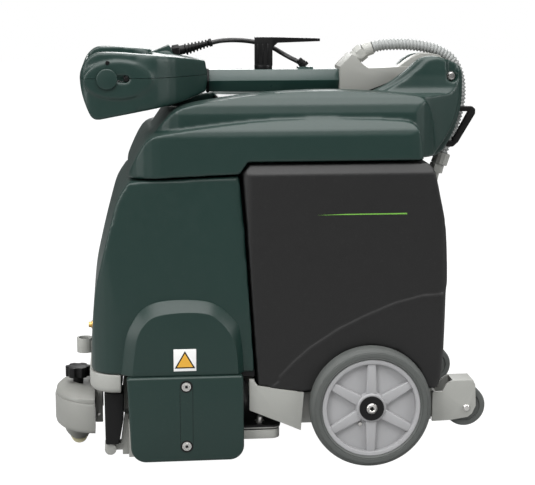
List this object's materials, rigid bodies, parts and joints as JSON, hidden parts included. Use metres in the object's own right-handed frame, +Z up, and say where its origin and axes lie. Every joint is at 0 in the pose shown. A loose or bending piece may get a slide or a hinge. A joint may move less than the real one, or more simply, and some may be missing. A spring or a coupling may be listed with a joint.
{
  "type": "carpet extractor",
  "caption": "Compact walk-behind carpet extractor with floating brush deck, large rear wheels, guide roller, stacked tanks and a forward-folding handle.",
  "frame": {"origin": "on the floor below the centre of the whole folded machine", "axes": "+X to the rear (operator side), +Y to the machine side away from the blank label, +Z up"},
  "size_m": [0.91, 0.488, 0.878],
  "materials": {
    "cast_grey": "satin",
    "green_plastic": "semi-gloss fine grain",
    "tank_black": "matte fine grain",
    "black_plastic": "satin",
    "stainless": "brushed",
    "brass_fitting": "turned",
    "conduit_grey": "satin",
    "cable_black": "satin",
    "label_white": "gloss",
    "roller_cream": "satin",
    "tyre_grey": "matte",
    "rim_silver": "satin",
    "bristle_grey": "bristle",
    "rocker_dark": "gloss"
  },
  "bodies": {
    "chassis": {"chassis_frame": "cast_grey", "front_bumper": "cast_grey", "guard_plates": "cast_grey", "rear_forks": "cast_grey", "wheel_axle": "stainless", "front_shell": "green_plastic", "deck_hoods": "green_plastic", "solution_tank": "tank_black", "recovery_tank": "green_plastic", "lid_plate": "black_plastic", "pivot_ears": "green_plastic", "pivot_bolts": "stainless", "tow_handle": "black_plastic", "hose_cup": "cast_grey", "hose_cup_liner": "black_plastic", "quick_coupler": "brass_fitting", "conduit_elbow": "cast_grey", "conduit": "conduit_grey", "safety_label": "label_white", "vacuum_motor": "black_plastic", "solution_pump": "black_plastic", "guide_housing": "cast_grey", "guide_cap": "cast_grey", "guide_bracket": "cast_grey", "guide_bowl": "cast_grey"},
    "wheel_left": {"tyre_left": "tyre_grey", "rim_left": "rim_silver", "hub_cap_left": "black_plastic"},
    "wheel_right": {"tyre_right": "tyre_grey", "rim_right": "rim_silver", "hub_cap_right": "black_plastic"},
    "roller_left": {"roller_left": "tyre_grey"},
    "roller_right": {"roller_right": "tyre_grey"},
    "guide_roller": {"guide_roller": "roller_cream"},
    "guide_knob": {"guide_knob": "black_plastic"},
    "deck": {"deck_housing": "cast_grey", "deck_covers": "green_plastic", "deck_cover_bolts": "stainless", "deck_links": "black_plastic", "deck_link_pivots": "cast_grey", "deck_skids": "black_plastic", "brush_motor": "black_plastic"},
    "brush_front": {"brush_front": "bristle_grey"},
    "brush_rear": {"brush_rear": "bristle_grey"},
    "handle": {"handle_yoke": "cast_grey", "handle_tube": "green_plastic", "tube_collar": "black_plastic", "head_upper": "green_plastic", "head_lower": "green_plastic", "head_grip": "black_plastic", "boss_caps": "green_plastic", "switch_panel": "black_plastic", "cable_glands": "black_plastic", "control_cable": "cable_black", "conduit_gland": "cast_grey"},
    "rocker_a": {"rocker_a": "rocker_dark"},
    "rocker_b": {"rocker_b": "rocker_dark"},
    "trigger": {"trigger_bar": "black_plastic"},
    "hook": {"cord_hook": "black_plastic"}
  },
  "joints": [
    {"name": "wheel_left_spin", "type": "hinge", "parent": "chassis", "child": "wheel_left", "pos_m": [0.202, -0.217, 0.127], "axis": [0, 1, 0], "continuous": true},
    {"name": "wheel_right_spin", "type": "hinge", "parent": "chassis", "child": "wheel_right", "pos_m": [0.202, 0.217, 0.127], "axis": [0, 1, 0], "continuous": true},
    {"name": "roller_left_spin", "type": "hinge", "parent": "chassis", "child": "roller_left", "pos_m": [0.41, -0.169, 0.111], "axis": [0, 1, 0], "continuous": true},
    {"name": "roller_right_spin", "type": "hinge", "parent": "chassis", "child": "roller_right", "pos_m": [0.41, 0.169, 0.111], "axis": [0, 1, 0], "continuous": true},
    {"name": "guide_roller_spin", "type": "hinge", "parent": "chassis", "child": "guide_roller", "pos_m": [-0.405, 0, 0.0175], "axis": [0, 1, 0], "continuous": true},
    {"name": "guide_knob_turn", "type": "hinge", "parent": "chassis", "child": "guide_knob", "pos_m": [-0.405, 0, 0.14], "axis": [0, 0, 1], "continuous": true},
    {"name": "deck_float", "type": "slide", "parent": "chassis", "child": "deck", "axis": [0, 0, 1], "range_m": [-0.012, 0]},
    {"name": "brush_front_spin", "type": "hinge", "parent": "deck", "child": "brush_front", "pos_m": [-0.232, 0, 0.05], "axis": [0, 1, 0], "continuous": true},
    {"name": "brush_rear_spin", "type": "hinge", "parent": "deck", "child": "brush_rear", "pos_m": [-0.132, 0, 0.05], "axis": [0, 1, 0], "continuous": true},
    {"name": "handle_fold", "type": "hinge", "parent": "chassis", "child": "handle", "pos_m": [0.39, 0, 0.798], "axis": [0, 1, 0], "range_deg": [0, 125], "deforming": ["conduit"]},
    {"name": "hook_swivel", "type": "hinge", "parent": "handle", "child": "hook", "pos_m": [0, 0, 0.811], "axis": [0, 0, -1], "range_deg": [0, 135]},
    {"name": "trigger_squeeze", "type": "slide", "parent": "handle", "child": "trigger", "axis": [-1, 0, 0], "range_m": [0, 0.01], "stiffness_N_per_m": 300, "springref_m": -0.01},
    {"name": "rocker_a_rock", "type": "hinge", "parent": "handle", "child": "rocker_a", "pos_m": [-0.206, -0.025, 0.745], "axis": [0, 1, 0], "range_deg": [-8, 8]},
    {"name": "rocker_b_rock", "type": "hinge", "parent": "handle", "child": "rocker_b", "pos_m": [-0.206, 0.025, 0.745], "axis": [0, 1, 0], "range_deg": [-8, 8]}
  ],
  "couplings": [
    {"joint": "brush_rear_spin", "follows": "brush_front_spin", "ratio": -1}
  ]
}
